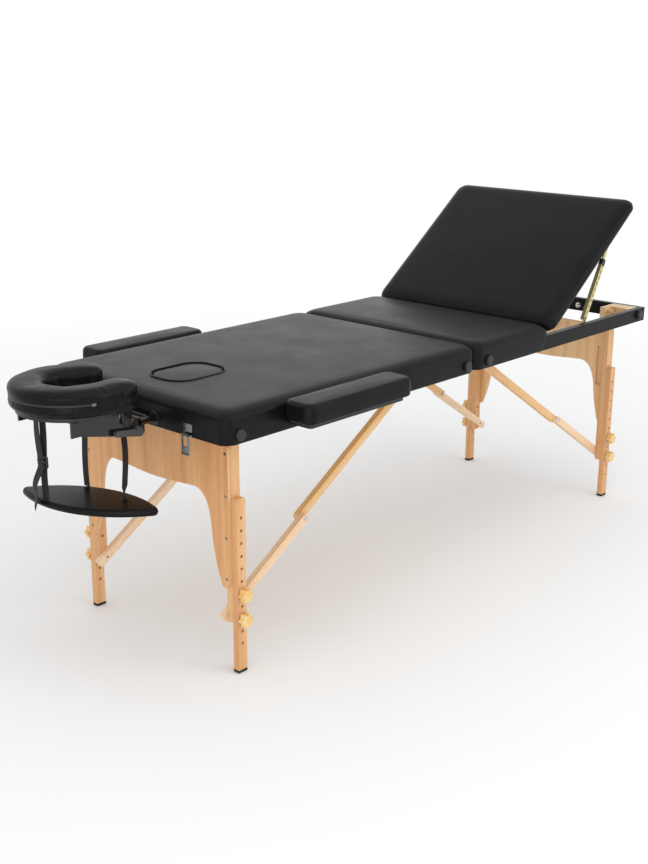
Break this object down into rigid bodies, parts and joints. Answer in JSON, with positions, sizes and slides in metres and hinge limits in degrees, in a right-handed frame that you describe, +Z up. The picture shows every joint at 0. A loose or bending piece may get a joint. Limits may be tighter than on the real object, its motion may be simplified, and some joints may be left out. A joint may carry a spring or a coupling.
{
  "type": "folding treatment table",
  "caption": "Folding padded treatment table with telescopic wooden legs, folding braces, raised tilting backrest, horseshoe headrest, hanging arm shelf and side arm supports.",
  "frame": {"origin": "on the floor under the middle of the whole outline", "axes": "X along the table from the headrest to the backrest, Y across it, Z up"},
  "size_m": [2.166, 0.842, 0.9932],
  "materials": {
    "black_vinyl": "semi-matte grained upholstery",
    "beech": "clear satin lacquer",
    "pale_beech": "clear satin lacquer",
    "knob_wood": "clear gloss lacquer",
    "plywood": "raw sanded",
    "rubber": "matte",
    "black_plastic": "fine texture",
    "grey_plastic": "smooth",
    "zinc_steel": "bright zinc",
    "chrome": "polished",
    "yellow_zinc": "yellow passivated zinc",
    "black_steel": "black powder coat",
    "webbing": "woven webbing"
  },
  "bodies": {
    "head_half": {"head_rails": "black_vinyl", "head_deck": "plywood", "head_cushion": "black_vinyl", "head_frame_blocks": "pale_beech", "head_bumpers": "black_plastic", "accessory_sockets": "black_plastic", "latch_plates": "chrome", "centre_hinge_head_leaves": "zinc_steel"},
    "centre_pins": {"centre_hinge_pins": "zinc_steel"},
    "foot_half": {"foot_rails": "black_vinyl", "foot_deck": "plywood", "middle_cushion": "black_vinyl", "foot_frame_blocks": "pale_beech", "foot_bumpers": "black_plastic", "latch_catches": "chrome", "centre_hinge_foot_leaves": "zinc_steel", "backrest_hinge_fixed_leaves": "zinc_steel", "stay_rail_brackets": "yellow_zinc"},
    "backrest": {"backrest_board": "black_vinyl", "backrest_cushion": "black_vinyl", "backrest_hinge_moving_leaves": "zinc_steel", "stay_panel_brackets": "yellow_zinc"},
    "stay_channel_pair": {"stay_channels": "yellow_zinc"},
    "stay_slider_pair": {"stay_sliders": "yellow_zinc"},
    "headrest_rods": {"headrest_bracket": "black_steel"},
    "headrest_cradle": {"headrest_arms": "black_steel", "headrest_platform": "black_plastic"},
    "headrest_cushion": {"headrest_pad": "black_vinyl"},
    "cradle_lever": {"headrest_lever": "grey_plastic"},
    "front_strap": {"sling_front_strap": "webbing"},
    "back_straps": {"sling_back_straps": "webbing"},
    "shelf": {"arm_shelf": "black_vinyl"},
    "armrest_near": {"armrest_pad_near": "black_vinyl", "armrest_board_near": "black_plastic"},
    "armrest_far": {"armrest_pad_far": "black_vinyl", "armrest_board_far": "black_plastic"},
    "plug": {"breath_plug": "black_vinyl"},
    "hasps": {"latch_hasps": "chrome"},
    "head_leg_frame": {"head_upper_legs": "beech", "head_apron": "beech", "head_leg_fasteners": "zinc_steel"},
    "head_leg_near": {"head_lower_leg_near": "beech", "head_foot_cap_near": "rubber"},
    "head_leg_far": {"head_lower_leg_far": "beech", "head_foot_cap_far": "rubber"},
    "head_knobs_upper": {"head_upper_knobs": "knob_wood"},
    "head_knobs_lower": {"head_lower_knobs": "knob_wood"},
    "head_links_lower": {"head_lower_braces": "pale_beech"},
    "head_links_upper": {"head_upper_braces": "pale_beech"},
    "foot_leg_frame": {"foot_upper_legs": "beech", "foot_apron": "beech", "foot_leg_fasteners": "zinc_steel"},
    "foot_leg_near": {"foot_lower_leg_near": "beech", "foot_foot_cap_near": "rubber"},
    "foot_leg_far": {"foot_lower_leg_far": "beech", "foot_foot_cap_far": "rubber"},
    "foot_knobs_upper": {"foot_upper_knobs": "knob_wood"},
    "foot_knobs_lower": {"foot_lower_knobs": "knob_wood"},
    "foot_links_lower": {"foot_lower_braces": "pale_beech"},
    "foot_links_upper": {"foot_upper_braces": "pale_beech"}
  },
  "joints": [
    {"name": "centre_fold", "type": "hinge", "parent": "head_half", "child": "centre_pins", "pos_m": [0.149, 0, 0.594], "axis": [0, 1, 0], "range_deg": [0, 90]},
    {"name": "case_close", "type": "hinge", "parent": "centre_pins", "child": "foot_half", "pos_m": [0.149, 0, 0.594], "axis": [0, 1, 0], "range_deg": [0, 90]},
    {"name": "head_leg_fold", "type": "hinge", "parent": "head_half", "child": "head_leg_frame", "pos_m": [-0.694, 0, 0.621], "axis": [0, -1, 0], "range_deg": [0, 90]},
    {"name": "head_brace_upper_swing", "type": "hinge", "parent": "head_half", "child": "head_links_upper", "pos_m": [0.044, 0, 0.621], "axis": [0, 1, 0], "range_deg": [0, 32.8]},
    {"name": "head_brace_lower_swing", "type": "hinge", "parent": "head_leg_frame", "child": "head_links_lower", "pos_m": [-0.693, 0, 0.15], "axis": [0, -1, 0], "range_deg": [0, 57.2]},
    {"name": "head_leg_height_near", "type": "slide", "parent": "head_leg_frame", "child": "head_leg_near", "axis": [0, 0, -1], "range_m": [-0.064, 0.192]},
    {"name": "head_leg_height_far", "type": "slide", "parent": "head_leg_frame", "child": "head_leg_far", "axis": [0, 0, -1], "range_m": [-0.064, 0.192]},
    {"name": "head_knob_upper_turn", "type": "hinge", "parent": "head_leg_frame", "child": "head_knobs_upper", "pos_m": [-0.694, 0, 0.205], "axis": [0, 1, 0], "continuous": true},
    {"name": "head_knob_lower_turn", "type": "hinge", "parent": "head_leg_frame", "child": "head_knobs_lower", "pos_m": [-0.694, 0, 0.141], "axis": [0, 1, 0], "continuous": true},
    {"name": "foot_leg_fold", "type": "hinge", "parent": "foot_half", "child": "foot_leg_frame", "pos_m": [0.992, 0, 0.621], "axis": [0, 1, 0], "range_deg": [0, 90]},
    {"name": "foot_brace_upper_swing", "type": "hinge", "parent": "foot_half", "child": "foot_links_upper", "pos_m": [0.254, 0, 0.621], "axis": [0, -1, 0], "range_deg": [0, 32.8]},
    {"name": "foot_brace_lower_swing", "type": "hinge", "parent": "foot_leg_frame", "child": "foot_links_lower", "pos_m": [0.991, 0, 0.15], "axis": [0, 1, 0], "range_deg": [0, 57.2]},
    {"name": "foot_leg_height_near", "type": "slide", "parent": "foot_leg_frame", "child": "foot_leg_near", "axis": [0, 0, -1], "range_m": [-0.064, 0.192]},
    {"name": "foot_leg_height_far", "type": "slide", "parent": "foot_leg_frame", "child": "foot_leg_far", "axis": [0, 0, -1], "range_m": [-0.064, 0.192]},
    {"name": "foot_knob_upper_turn", "type": "hinge", "parent": "foot_leg_frame", "child": "foot_knobs_upper", "pos_m": [0.992, 0, 0.205], "axis": [0, 1, 0], "continuous": true},
    {"name": "foot_knob_lower_turn", "type": "hinge", "parent": "foot_leg_frame", "child": "foot_knobs_lower", "pos_m": [0.992, 0, 0.141], "axis": [0, 1, 0], "continuous": true},
    {"name": "backrest_tilt", "type": "hinge", "parent": "foot_half", "child": "backrest", "pos_m": [0.521, 0, 0.644], "axis": [0, -1, 0], "range_deg": [-37, 0]},
    {"name": "stay_swing", "type": "hinge", "parent": "foot_half", "child": "stay_channel_pair", "pos_m": [0.749, 0, 0.63], "axis": [0, -1, 0], "range_deg": [-61.03, 0]},
    {"name": "stay_slide", "type": "slide", "parent": "stay_channel_pair", "child": "stay_slider_pair", "axis": [0.4772, 0, 0.8788], "range_m": [-0.08395, 0]},
    {"name": "headrest_pull", "type": "slide", "parent": "head_half", "child": "headrest_rods", "axis": [-1, 0, 0], "range_m": [0, 0.18]},
    {"name": "headrest_tilt", "type": "hinge", "parent": "headrest_rods", "child": "headrest_cradle", "pos_m": [-0.846, 0, 0.604], "axis": [0, 1, 0], "range_deg": [-25, 10]},
    {"name": "headrest_lever_turn", "type": "hinge", "parent": "headrest_cradle", "child": "cradle_lever", "pos_m": [-0.846, 0, 0.604], "axis": [0, -1, 0], "range_deg": [0, 100]},
    {"name": "headrest_pad_lift", "type": "slide", "parent": "headrest_cradle", "child": "headrest_cushion", "axis": [0, 0, 1], "range_m": [0, 0.08]},
    {"name": "sling_front_swing", "type": "hinge", "parent": "headrest_cradle", "child": "front_strap", "pos_m": [-0.987, 0.06, 0.6596], "axis": [0, 1, 0], "range_deg": [-10, 25]},
    {"name": "sling_back_swing", "type": "hinge", "parent": "headrest_cradle", "child": "back_straps", "pos_m": [-0.863, 0, 0.6596], "axis": [0, 1, 0], "range_deg": [-10, 25]},
    {"name": "shelf_level", "type": "hinge", "parent": "front_strap", "child": "shelf", "pos_m": [-0.987, 0.06, 0.4323], "axis": [0, 1, 0], "range_deg": [-25, 10]},
    {"name": "armrest_near_pull", "type": "slide", "parent": "head_half", "child": "armrest_near", "axis": [0, -1, 0], "range_m": [0, 0.08]},
    {"name": "armrest_far_pull", "type": "slide", "parent": "head_half", "child": "armrest_far", "axis": [0, 1, 0], "range_m": [0, 0.08]},
    {"name": "breath_plug_lift", "type": "slide", "parent": "head_half", "child": "plug", "axis": [0, 0, 1], "range_m": [0, 0.06]},
    {"name": "latch_turn", "type": "hinge", "parent": "head_half", "child": "hasps", "pos_m": [-0.7895, 0, 0.603], "axis": [0, 1, 0], "range_deg": [0, 140]}
  ],
  "couplings": [
    {"joint": "head_leg_fold", "follows": "centre_fold", "ratio": 1},
    {"joint": "head_brace_upper_swing", "follows": "centre_fold", "ratio": 0.3644},
    {"joint": "head_brace_lower_swing", "follows": "centre_fold", "ratio": 0.6356},
    {"joint": "foot_leg_fold", "follows": "centre_fold", "ratio": 1},
    {"joint": "foot_brace_upper_swing", "follows": "centre_fold", "ratio": 0.3644},
    {"joint": "foot_brace_lower_swing", "follows": "centre_fold", "ratio": 0.6356},
    {"joint": "stay_swing", "follows": "backrest_tilt", "ratio": 1.6494},
    {"joint": "stay_slide", "follows": "backrest_tilt", "m_per_rad": 0.12998},
    {"joint": "sling_front_swing", "follows": "headrest_tilt", "ratio": -1},
    {"joint": "sling_back_swing", "follows": "headrest_tilt", "ratio": -1},
    {"joint": "shelf_level", "follows": "headrest_tilt", "ratio": 1}
  ]
}
